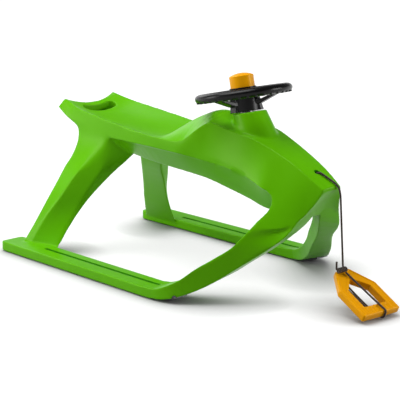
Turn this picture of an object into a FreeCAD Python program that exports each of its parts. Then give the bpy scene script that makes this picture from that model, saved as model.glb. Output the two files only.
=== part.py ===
"""A child's moulded steering sled: one hollow plastic body on two runners, a turning steering
wheel with a press horn on a tilted column, steel glide rails and a pull cord with its handle.

Millimetres. +X points to the nose, +Y to the rider's left and +Z up. The origin is on the
ground, below the middle of the sled."""
import FreeCAD, Part
import math
import os
from FreeCAD import Vector

# Overall sizes
LENGTH = 782.0          # runner heel to nose tip
TRACK = 422.0           # between the middles of the two runners
HEEL_X = -LENGTH / 2
NOSE_X = LENGTH / 2

# Runners and their steel rails
RUNNER_W = 60.0
RUNNER_T = 21.0
CURL_BACK = 296.0       # where the runners start to curl up, from the nose
HEEL_R = 9.0            # corner radius of the heel, in plan
GROOVE_W = 8.0
GROOVE_D = 5.0
GROOVE_START = 124.0    # from the heel
GROOVE_END = 278.0      # from the nose
GROOVE_INSIDE = 4.0     # middle of the groove, from the runner's middle towards the sled's
RAIL_W = 34.0
RAIL_T = 6.0
RAIL_SUNK = 4.0         # depth of the rail's bed in the runner
RAIL_START = 14.0       # from the heel
RAIL_BEND_BACK = 281.0  # where the rail turns up, from the nose
RAIL_BEND_R = 200.0     # radius of its upturned front
RAIL_BEND_DEG = 21.0
SCREW_COUNT = 4         # per rail
SCREW_FIRST = 32.0      # from the rail's rear end
SCREW_LAST = 47.0       # from the start of the rail's bend
SCREW_R = 2.5
SCREW_HEAD_R = 5.0
SCREW_HEAD_H = 2.6
SCREW_L = 15.0
SCREW_INSET = 0.6       # the head lies this far inside the rail's sliding face

# Seat
SEAT_BACK = 17.0        # rear ends of the seat's raised edge, from the heel
SEAT_HALF = 90.0        # half width of the seat at the rider's legs
REAR_RIM_BACK = 42.0    # middle of the seat's rear edge, from the heel
REAR_HOLLOW_R = 190.0   # radius of the hollow rear edge, in plan
REAR_RIM_W = 15.0       # rim between the rear edge and the hand slot
SLOT_W = 24.0
SLOT_L = 92.0
WALL = 4.5              # wall of the hollow beam
HOLLOW_START = 122.0    # rear end of the hollow, from the heel
HOLLOW_END = 28.0       # front end of the hollow, from the nose

# Steering column: its axis leans back, and its own frame starts on top of the boss
COLUMN_BACK = 239.0     # shaft on top of the boss, from the nose
COLUMN_Z = 359.5
COLUMN_TILT = 12.0
BOSS_R = 35.5
BOSS_FORWARD = 9.0      # the boss's top lies this far ahead of the shaft
BOSS_LEAN = 0.30        # its middle moves forward by this share of the way down
BOSS_TAPER = 0.11       # its radius grows by this share of the way down
BOSS_H = 60.0
BOSS_DEPTH = 45.0       # length of the bored wall
BOSS_INNER_R = 24.0
SHAFT_R = 8.0
SHAFT_THREAD_R = 6.0
BUSH_R = 11.0
BUSH_L = 17.0
FLANGE_R = 17.0
FLANGE_T = 3.0
WASHER_R = 16.0
WASHER_T = 1.6
NUT_FLATS = 19.0
NUT_H = 9.0
RUN_GAP = 0.05          # radial clearance of a turning fit
END_GAP = 0.2           # axial clearance of a turning fit
FIT_GAP = 0.05          # radial clearance of a fixed fit

# Steering wheel
WHEEL_R = 101.5
RIM_W = 25.0            # radial width of the rim
RIM_H = 19.0
RIM_MID = 39.5          # rim's mid plane above the boss top
GRIP_COUNT = 36         # finger ribs under the rim
GRIP_R = 1.9
HUB_R = 31.0
HUB_TOP = 41.0
SPOKE_COUNT = 3
SPOKE_TURN = 27.0       # direction of the first spoke, from straight ahead
SPOKE_W = 24.0
SPOKE_T = 9.0
SPOKE_FOOT = 13.0       # the spokes leave the hub this far above its underside
ROOT_R = 36.0           # outer reach of a spoke's root on the hub
ROOT_W = 27.0
ROOT_H = 34.0
WHEEL_SCREW_R = 3.0
WHEEL_SCREW_L = 18.0
WHEEL_SCREW_HEAD_R = 6.0
WHEEL_SCREW_HEAD_H = 4.0
SCREW_POCKET_D = 9.0    # pocket in the hub top for the wheel screw's head

# Press horn
HORN_R = 25.5           # cap
HORN_TOP = 82.0         # cap top above the boss top
HORN_WALL = 2.4
HORN_CROWN = 6.0        # height of the cap's domed top
HORN_TRAVEL = 4.0
HORN_STOP_GAP = 0.8     # cap's lower edge above the collar's floor when pressed
HORN_GUIDE = 4.0        # length of the cap inside the collar at rest
HORN_RUN = 0.3          # clearance between cap and collar
COLLAR_WALL = 2.2
COLLAR_FLOOR_T = 2.2
SQUEAKER_R = 9.0
SQUEAKER_H = 12.0
SPRING_R = 13.0         # middle of the wire
SPRING_WIRE_R = 0.8
SPRING_SEAT = 0.1       # clearance at both ends of the spring
SPRING_TURNS = 6
SPRING_SIDES = 8        # arcs per turn
COLLAR_SCREW_COUNT = 3
COLLAR_SCREW_PCD_R = 18.0
COLLAR_SCREW_R = 1.5
COLLAR_SCREW_HEAD_R = 2.8
COLLAR_SCREW_HEAD_H = 1.8
COLLAR_SCREW_L = 12.0

# Pull cord and handle
CORD_R = 2.0
CORD_HOLE_R = 5.5
CORD_HOLE_BACK = 40.0   # from the nose
CORD_LEAN = 2.0         # the cord leaves its hole this far ahead of the hole's middle
CORD_RISE = 3.0         # and turns this far above the deck
KNOT_R = 7.5            # stopper knot
KNOT_FACE = 6.5         # its flat, where the cord leaves it, from its middle
KNOT_SEAT = 0.3         # clearance at the cord's knots and under the wound cord
HANDLE_L = 128.0
HANDLE_HALF = 49.5      # half width of the grip end
HANDLE_APEX_HALF = 18.5
HANDLE_BEND = 50.5      # where the sides stop widening, from the apex
HANDLE_T = 16.0
HANDLE_BAR = 20.0       # width of the side bars
HANDLE_GRIP = 23.0      # depth of the grip bar
HANDLE_WEB = 28.0       # solid web behind the apex
HANDLE_EDGE_R = 4.0
HANDLE_AHEAD = 21.5     # apex of the handle ahead of the nose
HANDLE_ASIDE = 7.0      # and to the left of the middle
HANDLE_PITCH = 27.5
HANDLE_YAW = -4.0
WRAP_COUNT = 6          # turns of the knot at the handle's apex
WRAP_R = 3.6
WRAP_PITCH = 4.8
KNOT_Y = -8.0           # middle of the knot, across the handle
KNOT_TAIL_L = 16.0


def heel(distance):
    """X at a distance forward of the runners' heel."""
    return HEEL_X + distance


def nose(distance):
    """X at a distance back from the nose tip."""
    return NOSE_X - distance


# Long lines of the beam, from heel to nose. Crown: height of the top on the centre line.
# Edge: half width and height of the seat's edge and the bonnet's crease. Skirt: lower edge of
# the seat's skirt and of the bonnet's side panel. Keel: lower edge of the beam.
CROWN_Z = [(heel(SEAT_BACK), 325), (heel(46), 319), (heel(73), 308), (heel(106), 300), (heel(201), 289.5),
           (nose(480), 283), (nose(436), 286), (nose(416), 298), (nose(396), 316), (nose(375), 331),
           (nose(348), 344), (nose(311), 355.5), (nose(296), 354), (nose(281), 349),
           (nose(239), 336), (nose(188), 324.5), (nose(133), 308), (nose(77), 285),
           (nose(50), 271.5), (nose(26), 257), (nose(0), 241.5)]
EDGE_Y = [(heel(SEAT_BACK), 73), (heel(32), 71.5), (heel(91), 82), (heel(147), 85.5), (heel(201), 87.5),
          (nose(436), SEAT_HALF), (nose(358), SEAT_HALF), (nose(310), 80), (nose(283), 66.5),
          (nose(239), 57), (nose(188), 49.5), (nose(161), 44.5), (nose(133), 40), (nose(77), 34.5),
          (nose(26), 30.5), (nose(0), 25.5)]
EDGE_Z = [(heel(SEAT_BACK), 335), (heel(32), 333), (heel(91), 320), (heel(147), 313.4), (heel(201), 307.5),
          (nose(480), 297), (nose(436), 294), (nose(360), 291), (nose(347), 292.5), (nose(310), 320),
          (nose(290), 337), (nose(281), 340.5), (nose(239), 331), (nose(188), 322), (nose(133), 305.5),
          (nose(105), 294.5), (nose(77), 282.4), (nose(50), 269), (nose(26), 254.7), (nose(0), 239)]
SKIRT_Y = [(heel(SEAT_BACK), 85), (heel(46), 88), (heel(147), SEAT_HALF + 1), (nose(360), SEAT_HALF),
           (nose(310), 79.5), (nose(239), 72.5), (nose(188), 72), (nose(160), 72.4), (nose(123), 75.5),
           (nose(105), 71), (nose(77), 64.8), (nose(50), 55), (nose(26), 40.6), (nose(0), 25.7)]
SKIRT_Z = [(heel(SEAT_BACK), 318), (heel(46), 302), (heel(73), 288), (heel(106), 275), (heel(147), 270.5),
           (nose(480), 270), (nose(360), 268.5), (nose(310), 263), (nose(239), 257),
           (nose(188), 250), (nose(146), 240), (nose(105), 226), (nose(77), 216), (nose(50), 214),
           (nose(26), 222), (nose(0), 237)]
KEEL_Y = [(heel(SEAT_BACK), 72), (heel(73), 60), (heel(147), 52), (nose(430), 52), (nose(310), 50.5),
          (nose(188), 43), (nose(105), 38), (nose(50), 28), (nose(0), 20)]
KEEL_Z = [(heel(SEAT_BACK), 308), (heel(46), 294), (heel(106), 268), (heel(147), 252), (heel(201), 240),
          (nose(480), 228.5), (nose(310), 218), (nose(239), 204.5), (nose(188), 193),
          (nose(133), 180), (nose(77), 181), (nose(50), 190), (nose(26), 212), (nose(0), 236)]
STATION_STEP = 13.0     # spacing of the sections along the sled

# Cape: the bonnet's side panels run out and down to a shoulder line over each front leg.
SHOULDER_Y = [(nose(160), 109), (nose(123), 126), (nose(101), 110.5), (nose(71), 90),
              (nose(44), 72), (nose(21), 47), (nose(0), 25.8)]
SHOULDER_Z = [(nose(160), 152), (nose(123), 143), (nose(101), 149.5), (nose(71), 157),
              (nose(44), 164), (nose(21), 192), (nose(0), 234)]
ARCH_Z = [(nose(160), 180), (nose(123), 174), (nose(71), 170), (nose(44), 174), (nose(21), 207),
          (nose(0), 235.5)]
BONNET_START = 160.0    # from the nose
KEEL_END = 80.0         # the keel ends inside the bonnet, from the nose
SKIRT_LIP = 2.5         # overhang of the skirt and the side panels over the keel
WINDOW_FRONT = [(nose(94), 212), (nose(92), 196), (nose(106), 170), (nose(121), 143),
                (nose(131), 118)]

# Front legs: each runner curls up and in to the nose. Four edges, each with points given as
# (distance from the nose, share of the runner's half width there, height above its underside).
LEG_OUTER_LOW = [(256, .994, 2), (223, .963, 8), (193, .876, 20), (168, .776, 35), (145, .689, 53),
                 (121, .585, 75), (84, .44, 108), (48, .336, 143), (30, .235, 182)]
LEG_OUTER_HIGH = [(265, .996, 22), (238, .979, 31), (209, .917, 47), (185, .826, 71),
                  (159, .73, 94), (131, .606, 120), (123, .527, 140), (78, .30, 170), (30, .17, 207)]
LEG_INNER_HIGH = [(273, .994, 23.5), (251, .939, 31), (226, .845, 42), (201, .74, 55),
                  (176, .63, 72), (146, .497, 100), (106, .32, 138), (70, .14, 170), (30, .02, 207)]
LEG_INNER_LOW = [(267, .994, 2), (241, .928, 8), (211, .84, 20), (184, .735, 36), (158, .608, 54),
                 (128, .475, 80), (88, .309, 114), (48, .10, 160), (30, .02, 192)]

LEG_STEP = 0.34         # spacing of the leg's sections, in points of these lines

# Rear legs: blades from the runners to the seat. Five edges, each with points given as
# (distance from the heel, share of the way from the seat's edge to the runner, height).
REAR_OUTER_BACK = [(35, .983, 12), (66, .63, 107), (77, .31, 171), (91, .12, 222), (97, .04, 251),
                   (91, -.02, 275)]
REAR_RIDGE = [(56, .95, 12), (86, .744, 81), (116, .578, 130), (143, .397, 182), (166, .207, 219),
              (192, .05, 250), (207, -.02, 275)]
REAR_OUTER_FRONT = [(117, .79, 12), (143, .405, 101), (172, .22, 158), (194, .06, 204),
                    (203, -.02, 245), (209, -.05, 275)]
REAR_INNER_FRONT = [(128, .76, 12), (142, .442, 76), (164, .182, 129), (192, -.116, 178),
                    (226, -.281, 215), (256, -.413, 250), (271, -.446, 275)]
REAR_INNER_BACK = [(17, .76, 12), (48, .471, 69), (69, .306, 107), (101, .05, 155),
                   (121, -.116, 185), (136, -.248, 220), (141, -.33, 275)]

# Route of the free cord over the nose and down to the handle's knot
CORD_POINTS = [(nose(26), 5, 260.4), (nose(13.5), 9.5, 252.8), (nose(1.5), 13.3, 246),
               (nose(-5.5), 15, 238), (nose(-8.3), 16, 226), (nose(-9.6), 16, 213)]

# Wound cord in the handle's own frame, as (along, across) points of its front and back runs
WIND_FRONT = [(55, 1.6), (96, 3.6)]
WIND_BACK = [(97, -0.8), (52, -2.2)]
WIND_RETURN = [(52, -8.8), (92, -5.8)]
WIND_TURN = 4.4         # radius of the cord's turn behind the apex
WIND_TURN_MIDDLE = (14.0, -5.4)
WIND_WRAP_Y = 7.0      # where the cord goes round the grip bar


def profile(points):
    """A smooth function through (x, value) points that turns only where the points turn."""
    count = len(points)
    slopes = []
    for (x0, v0), (x1, v1) in zip(points[:-1], points[1:]):
        slopes.append((v1 - v0) / (x1 - x0))
    tangents = [slopes[0]]
    for before, after in zip(slopes[:-1], slopes[1:]):
        same_way = before * after > 0
        tangents.append(2 * before * after / (before + after) if same_way else 0.0)
    tangents.append(slopes[-1])

    def value(x):
        i = 0
        while i < count - 2 and x > points[i + 1][0]:
            i += 1
        (x0, v0), (x1, v1) = points[i], points[i + 1]
        step = x1 - x0
        t = min(1.0, max(0.0, (x - x0) / step))
        rise = v0 * (1 + 2 * t) * (1 - t) ** 2 + v1 * t * t * (3 - 2 * t)
        return rise + step * (tangents[i] * t * (1 - t) ** 2 - tangents[i + 1] * t * t * (1 - t))
    return value


CROWN = profile(CROWN_Z)
EDGE = (profile(EDGE_Y), profile(EDGE_Z))
SKIRT = (profile(SKIRT_Y), profile(SKIRT_Z))
KEEL = (profile(KEEL_Y), profile(KEEL_Z))
SHOULDER = (profile(SHOULDER_Y), profile(SHOULDER_Z))
ARCH = profile(ARCH_Z)


def arc(start, middle, end):
    """Edge of the circle through three points."""
    return Part.Arc(start, middle, end).toShape()


def bow(start, middle, end):
    """Parabolic edge through three points, the middle one half way along."""
    curve = Part.BezierCurve()
    curve.setPoles([start, middle * 2 - (start + end) * 0.5, end])
    return curve.toShape()


def line(start, end):
    """Straight edge between two points."""
    return Part.LineSegment(start, end).toShape()


def mirrored(shape):
    """The same shape on the other side of the sled."""
    return shape.mirror(Vector(0, 0, 0), Vector(0, 1, 0))


def beam_section(x, inset):
    """Closed wire across the beam at x: top arc, two panels, two flanks and the keel."""
    top = Vector(x, 0, CROWN(x) - inset)
    edge_y = EDGE[0](x) - 1.3 * inset
    edge_z = EDGE[1](x) - 1.4 * inset
    skirt_y = SKIRT[0](x) - 1.3 * inset
    skirt_z = min(SKIRT[1](x), edge_z - 1.0)
    keel_y = min(KEEL[0](x) - 0.7 * inset, skirt_y - SKIRT_LIP - 1.0)
    keel_z = min(KEEL[1](x) + inset, skirt_z - 0.5)
    left = [Vector(x, edge_y, edge_z), Vector(x, skirt_y, skirt_z),
            Vector(x, skirt_y - SKIRT_LIP, skirt_z), Vector(x, keel_y, keel_z)]
    right = [Vector(p.x, -p.y, p.z) for p in reversed(left)]
    corners = left + right
    edges = [bow(right[-1], top, left[0])]
    edges += [line(start, end) for start, end in zip(corners[:-1], corners[1:])]
    return Part.Wire(edges)


def spread(start, end, step):
    """Evenly spaced values from start to end, about a step apart."""
    count = max(2, round((end - start) / step))
    return [start + (end - start) * i / count for i in range(count + 1)]


def beam(start, end, inset):
    """Loft of the seat and tank between two places along the sled."""
    places = spread(start, end, STATION_STEP)
    return Part.makeLoft([beam_section(x, inset) for x in places], True, True)


def closed(points):
    """Closed wire of straight edges."""
    return Part.makePolygon(points + points[:1])


def bonnet_section(x):
    """Closed wire across the bonnet at x: top arc, side panels to the shoulders, front arch."""
    left = [Vector(x, EDGE[0](x), EDGE[1](x)), Vector(x, SKIRT[0](x), SKIRT[1](x)),
            Vector(x, SHOULDER[0](x), SHOULDER[1](x))]
    right = [Vector(p.x, -p.y, p.z) for p in left]
    edges = [bow(right[0], Vector(x, 0, CROWN(x)), left[0]), line(left[0], left[1]),
             line(left[1], left[2]), bow(left[2], Vector(x, 0, ARCH(x)), right[2]),
             line(right[2], right[1]), line(right[1], right[0])]
    return Part.Wire(edges)


def keel_section(x):
    """Closed wire across the keel under the bonnet, set in from the panels' lower edge."""
    lip = Vector(x, SKIRT[0](x) - SKIRT_LIP, SKIRT[1](x))
    low = Vector(x, KEEL[0](x), KEEL[1](x))
    top = lip + Vector(0, -2 * SKIRT_LIP, 2 * SKIRT_LIP)
    left = [top, lip, low]
    return closed(left + [Vector(p.x, -p.y, p.z) for p in reversed(left)])


def window_cutter():
    """Prism that opens the bonnet behind the shoulders, below the side panels' lower edge."""
    low_edge = [Vector(x, 0, SKIRT[1](x) - SKIRT_LIP / 2) for x in (nose(170), nose(150), nose(128))]
    front = [Vector(x, 0, z) for x, z in WINDOW_FRONT]
    upper = Part.BSplineCurve()
    upper.interpolate(low_edge + front)
    corner = Vector(nose(170), 0, front[-1].z)
    wire = Part.Wire([upper.toShape(), line(front[-1], corner), line(corner, low_edge[0])])
    face = Part.Face(wire)
    face.translate(Vector(0, -TRACK, 0))
    return face.extrude(Vector(0, 2 * TRACK, 0))


def bonnet():
    """The bonnet with its side panels, front arch and side windows, and the keel under it."""
    start = nose(BONNET_START)
    places = spread(start, NOSE_X, STATION_STEP)
    cover = Part.makeLoft([bonnet_section(x) for x in places], True, True)
    places = spread(start, nose(KEEL_END), STATION_STEP)
    keel = Part.makeLoft([keel_section(x) for x in places], True, True)
    return cover.cut(window_cutter()).fuse(keel)


def runner():
    """Flat part of the left runner."""
    low = RAIL_T - RAIL_SUNK
    box = Part.makeBox(nose(CURL_BACK) - HEEL_X, RUNNER_W, RUNNER_T,
                       Vector(HEEL_X, TRACK / 2 - RUNNER_W / 2, low))
    heel_edges = [e for e in box.Edges if abs(e.CenterOfMass.x - HEEL_X) < 0.01
                  and abs(e.Vertexes[0].Y - e.Vertexes[1].Y) < 0.01]
    return box.makeFillet(HEEL_R, heel_edges)


def smooth_line(keys, points):
    """Function that gives the point for a key on a smooth line through points."""
    parts = [profile(list(zip(keys, values))) for values in zip(*points)]

    def at(key):
        return Vector(*[part(key) for part in parts])
    return at


def front_leg():
    """Left front leg, from the end of the flat runner to the nose."""
    low = RAIL_T - RAIL_SUNK
    outer = TRACK / 2 + RUNNER_W / 2
    inner = TRACK / 2 - RUNNER_W / 2
    lines = []
    for points, half, rise in ((LEG_OUTER_LOW, outer, 0), (LEG_OUTER_HIGH, outer, RUNNER_T),
                               (LEG_INNER_HIGH, inner, RUNNER_T), (LEG_INNER_LOW, inner, 0)):
        line_points = [(nose(CURL_BACK), half, low + rise)]
        line_points += [(nose(d), half * share, low + z) for d, share, z in points]
        lines.append(smooth_line(range(len(line_points)), line_points))
    keys = spread(0, len(LEG_OUTER_LOW), LEG_STEP)
    return Part.makeLoft([closed([at(k) for at in lines]) for k in keys], True, True)


def rear_leg():
    """Left rear leg, from inside the runner to inside the seat."""
    reach = TRACK / 2 - SEAT_HALF
    lines = []
    for points in (REAR_OUTER_BACK, REAR_RIDGE, REAR_OUTER_FRONT, REAR_INNER_FRONT,
                   REAR_INNER_BACK):
        heights = [z for d, share, z in points]
        places = [(heel(d), SEAT_HALF + share * reach, z) for d, share, z in points]
        lines.append(smooth_line(heights, places))
    levels = spread(REAR_RIDGE[0][2], REAR_RIDGE[-1][2], STATION_STEP)
    return Part.makeLoft([closed([at(z) for at in lines]) for z in levels], True, True)


def column_frame():
    """Placement of the steering column's own frame: origin on the boss top, Z along the axis."""
    turn = FreeCAD.Rotation(Vector(0, 1, 0), -COLUMN_TILT)
    return FreeCAD.Placement(Vector(nose(COLUMN_BACK), 0, COLUMN_Z), turn)


def on_column(shape):
    """A shape drawn in the column's frame, moved to its place on the sled."""
    placed = shape.copy()
    placed.Placement = column_frame().multiply(shape.Placement)
    return placed


def cylinder(radius, low, high):
    """Cylinder about the Z axis between two heights."""
    return Part.makeCylinder(radius, high - low, Vector(0, 0, low))


def boss():
    """Tapered boss that stands on the bonnet."""
    up = Vector(0, 0, 1)
    top = Part.Circle(Vector(BOSS_FORWARD, 0, 0), up, BOSS_R)
    foot = Part.Circle(Vector(BOSS_FORWARD + BOSS_LEAN * BOSS_H, 0, -BOSS_H), up,
                       BOSS_R + BOSS_TAPER * BOSS_H)
    rings = [Part.Wire([circle.toShape()]) for circle in (foot, top)]
    return on_column(Part.makeLoft(rings, True, True))


def boss_bore():
    """Bores of the boss: the shaft's clearance, both bushes and the upper flange's seat."""
    hole = cylinder(SHAFT_R + 1.0, -BOSS_DEPTH - 1, 1)
    upper = cylinder(BUSH_R + FIT_GAP, -FLANGE_T - BUSH_L, 1)
    lower = cylinder(BUSH_R + FIT_GAP, -BOSS_DEPTH - 1, -BOSS_DEPTH + BUSH_L)
    seat = cylinder(FLANGE_R + FIT_GAP, -FLANGE_T, 1)
    return on_column(hole.fuse([upper, lower, seat]))


def hand_slot():
    """Curved slot behind the seat, along the hollow rear edge."""
    centre_x = heel(REAR_RIM_BACK) - REAR_HOLLOW_R
    middle_r = REAR_HOLLOW_R + REAR_RIM_W + SLOT_W / 2
    half_angle = math.degrees((SLOT_L - SLOT_W) / 2 / middle_r)
    height = 120.0
    base = Vector(centre_x, 0, KEEL[1](heel(REAR_RIM_BACK)) - 60)
    up = Vector(0, 0, 1)
    ring = Part.makeCylinder(middle_r + SLOT_W / 2, height, base, up, 2 * half_angle)
    ring = ring.cut(Part.makeCylinder(middle_r - SLOT_W / 2, height, base, up))
    ring.rotate(base, up, -half_angle)
    ends = []
    for side in (-1, 1):
        angle = math.radians(side * half_angle)
        end = base + Vector(middle_r * math.cos(angle), middle_r * math.sin(angle), 0)
        ends.append(Part.makeCylinder(SLOT_W / 2, height, end, up))
    return ring.fuse(ends)


def rear_hollow():
    """Cylinder that hollows the seat's rear edge, in plan."""
    centre = Vector(heel(REAR_RIM_BACK) - REAR_HOLLOW_R, 0, 200)
    return Part.makeCylinder(REAR_HOLLOW_R, 200, centre)


def groove():
    """Stiffening groove along the top of the left runner."""
    top = RAIL_T - RAIL_SUNK + RUNNER_T
    middle = TRACK / 2 - GROOVE_INSIDE
    start = Vector(heel(GROOVE_START), middle, top - GROOVE_D)
    end = Vector(nose(GROOVE_END), middle, top - GROOVE_D)
    height = 4 * GROOVE_D
    box = Part.makeBox(end.x - start.x, GROOVE_W, height, start - Vector(0, GROOVE_W / 2, 0))
    return box.fuse([Part.makeCylinder(GROOVE_W / 2, height, p) for p in (start, end)])


def rail_blank():
    """Left glide rail before drilling: a steel strip with an upturned front."""
    start_x = heel(RAIL_START)
    bend_x = nose(RAIL_BEND_BACK)
    centre = Vector(bend_x, 0, RAIL_BEND_R)

    def on_bend(radius, degrees):
        angle = math.radians(degrees)
        return centre + Vector(radius * math.sin(angle), 0, -radius * math.cos(angle))
    inner_r = RAIL_BEND_R - RAIL_T
    half = RAIL_BEND_DEG / 2
    edges = [line(Vector(start_x, 0, 0), on_bend(RAIL_BEND_R, 0)),
             arc(on_bend(RAIL_BEND_R, 0), on_bend(RAIL_BEND_R, half),
                 on_bend(RAIL_BEND_R, RAIL_BEND_DEG)),
             line(on_bend(RAIL_BEND_R, RAIL_BEND_DEG), on_bend(inner_r, RAIL_BEND_DEG)),
             arc(on_bend(inner_r, RAIL_BEND_DEG), on_bend(inner_r, half), on_bend(inner_r, 0)),
             line(on_bend(inner_r, 0), Vector(start_x, 0, RAIL_T)),
             line(Vector(start_x, 0, RAIL_T), Vector(start_x, 0, 0))]
    face = Part.Face(Part.Wire(edges))
    face.translate(Vector(0, TRACK / 2 - RAIL_W / 2, 0))
    return face.extrude(Vector(0, RAIL_W, 0))


def rail_screws(clearance):
    """Countersunk screws of the left rail, or their holes when a clearance is given."""
    first = heel(RAIL_START) + SCREW_FIRST
    last = nose(RAIL_BEND_BACK) - SCREW_LAST
    screws = []
    for i in range(SCREW_COUNT):
        x = first + (last - first) * i / (SCREW_COUNT - 1)
        base = Vector(x, TRACK / 2, SCREW_INSET)
        shank = Part.makeCylinder(SCREW_R + clearance, SCREW_L, base)
        head = Part.makeCone(SCREW_HEAD_R + clearance, SCREW_R + clearance, SCREW_HEAD_H, base)
        solid = shank.fuse(head)
        if clearance:
            mouth = Part.makeCylinder(SCREW_HEAD_R + clearance, 2 * SCREW_INSET,
                                      base - Vector(0, 0, 2 * SCREW_INSET))
            solid = solid.fuse(mouth)
        screws.append(solid)
    return screws


def deck_point(x):
    """Point of the bonnet's centre line at x, and the direction square to the deck there."""
    slope = CROWN(x + 1) - CROWN(x - 1)
    return Vector(x, 0, CROWN(x)), Vector(-slope, 0, 2).normalize()


def cord_hole():
    """Hole square through the bonnet for the pull cord, into the hollow of the nose."""
    mouth, out = deck_point(nose(CORD_HOLE_BACK))
    return Part.makeCylinder(CORD_HOLE_R, 4 * WALL, mouth - out * 3 * WALL, out)


def moulded_body():
    """The sled's hollow moulding with its beds, bores, slot and cord hole."""
    left = [runner(), front_leg(), rear_leg()]
    pieces = left + [mirrored(s) for s in left] + [bonnet(), boss()]
    seat = beam(heel(SEAT_BACK), nose(BONNET_START), 0.0).cut(rear_hollow())
    body = seat.fuse(pieces)
    body = body.cut(beam(heel(HOLLOW_START), nose(HOLLOW_END), WALL))
    body = body.fuse(on_column(cylinder(BOSS_INNER_R, -BOSS_DEPTH, -FLANGE_T)))
    cuts = [hand_slot(), boss_bore(), cord_hole()]
    for cut in [groove(), rail_blank()] + rail_screws(FIT_GAP):
        cuts += [cut, mirrored(cut)]
    return body.cut(cuts)


def glide_rail():
    """Left glide rail with its countersunk holes."""
    return rail_blank().cut(rail_screws(FIT_GAP))


def flanged_bush(low, high, flange_low):
    """Plain bush between two heights, with a flange that starts at a third."""
    bush = cylinder(BUSH_R, low, high).fuse(cylinder(FLANGE_R, flange_low, flange_low + FLANGE_T))
    return on_column(bush.cut(cylinder(SHAFT_R + RUN_GAP, low - FLANGE_T - 1, high + FLANGE_T + 1)))


def upper_bush():
    return flanged_bush(-FLANGE_T - BUSH_L, -FLANGE_T, -FLANGE_T)


def lower_bush():
    return flanged_bush(-BOSS_DEPTH, -BOSS_DEPTH + BUSH_L, -BOSS_DEPTH - FLANGE_T)


HUB_LOW = END_GAP + WASHER_T                    # underside of the hub
NECK_LOW = -BOSS_DEPTH - FLANGE_T - END_GAP     # shoulder where the shaft's thread starts
NUT_LOW = NECK_LOW - WASHER_T - NUT_H
SHAFT_TOP = HUB_TOP - SCREW_POCKET_D


def steering_shaft():
    """Column shaft: a turned bar with a threaded lower end and a tapped top."""
    shaft = cylinder(SHAFT_R, NECK_LOW, SHAFT_TOP)
    shaft = shaft.fuse(cylinder(SHAFT_THREAD_R, NUT_LOW - 2.5, NECK_LOW))
    tapped = cylinder(WHEEL_SCREW_R + FIT_GAP, SHAFT_TOP - WHEEL_SCREW_L, SHAFT_TOP + 1)
    return on_column(shaft.cut(tapped))


def washer(low, hole_r):
    ring = cylinder(WASHER_R, low, low + WASHER_T)
    return on_column(ring.cut(cylinder(hole_r + FIT_GAP, low - 1, low + WASHER_T + 1)))


def lock_nut():
    """Hexagonal lock nut on the shaft's lower end."""
    corner_r = NUT_FLATS / 2 / math.cos(math.radians(30))
    corners = [Vector(corner_r * math.cos(math.radians(60 * i)),
                      corner_r * math.sin(math.radians(60 * i)), NUT_LOW) for i in range(6)]
    nut = Part.Face(closed(corners)).extrude(Vector(0, 0, NUT_H))
    nut = nut.cut(cylinder(SHAFT_THREAD_R + FIT_GAP, NUT_LOW - 1, NUT_LOW + NUT_H + 1))
    return on_column(nut)


def rim():
    """Wheel rim: a flattened ring with finger ribs under it."""
    middle_r = WHEEL_R - RIM_W / 2
    ellipse = Part.Ellipse(Vector(middle_r, 0, RIM_MID), RIM_W / 2, RIM_H / 2)
    ellipse.Axis = Vector(0, -1, 0)
    face = Part.Face(Part.Wire([ellipse.toShape()]))
    ring = face.revolve(Vector(0, 0, 0), Vector(0, 0, 1), 360)
    ribs = []
    for i in range(GRIP_COUNT):
        angle = 360.0 * i / GRIP_COUNT
        rib = Part.makeCylinder(GRIP_R, RIM_W * 0.62,
                                Vector(WHEEL_R - RIM_W * 0.72, 0, RIM_MID - RIM_H * 0.42),
                                Vector(1, 0, 0))
        rib.rotate(Vector(0, 0, 0), Vector(0, 0, 1), angle)
        ribs.append(rib)
    return ring.fuse(ribs)


def spoke():
    """One dished spoke along X with its root, from the foot of the hub up to the rim."""
    rim_r = WHEEL_R - RIM_W * 0.6
    start = Vector(HUB_R * 0.6, 0, HUB_LOW + SPOKE_FOOT)
    foot = Vector(ROOT_R, 0, HUB_LOW + SPOKE_FOOT)
    top = Vector(rim_r, 0, RIM_MID - RIM_H * 0.25)
    thick = Vector(0, 0, SPOKE_T)
    bar = Part.Face(closed([start, foot, top, top + thick * 0.5, foot + thick, start + thick]))
    bar.translate(Vector(0, -SPOKE_W / 2, 0))
    bar = bar.extrude(Vector(0, SPOKE_W, 0))
    half = ROOT_W / 2
    low = [Vector(0, -half, HUB_LOW), Vector(ROOT_R, -half * 0.7, HUB_LOW),
           Vector(ROOT_R, half * 0.7, HUB_LOW), Vector(0, half, HUB_LOW)]
    high = [Vector(p.x * 0.82, p.y * 1.05, ROOT_H) for p in low]
    root = Part.makeLoft([closed(low), closed(high)], True, True)
    return bar.fuse(root)


def steering_wheel():
    """Moulded wheel: rim, dished spokes and hub, bored for the shaft."""
    hub = cylinder(HUB_R, HUB_LOW, HUB_TOP)
    spokes = []
    for i in range(SPOKE_COUNT):
        turned = spoke()
        turned.rotate(Vector(0, 0, 0), Vector(0, 0, 1), SPOKE_TURN + i * 360.0 / SPOKE_COUNT)
        spokes.append(turned)
    wheel = hub.fuse(spokes + [rim()])
    bore = cylinder(SHAFT_R + FIT_GAP, 0, SHAFT_TOP)
    pocket = cylinder(WHEEL_SCREW_HEAD_R + 0.5, SHAFT_TOP, HUB_TOP + 1)
    return on_column(wheel.cut([bore, pocket] + collar_screws(FIT_GAP)))


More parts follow.
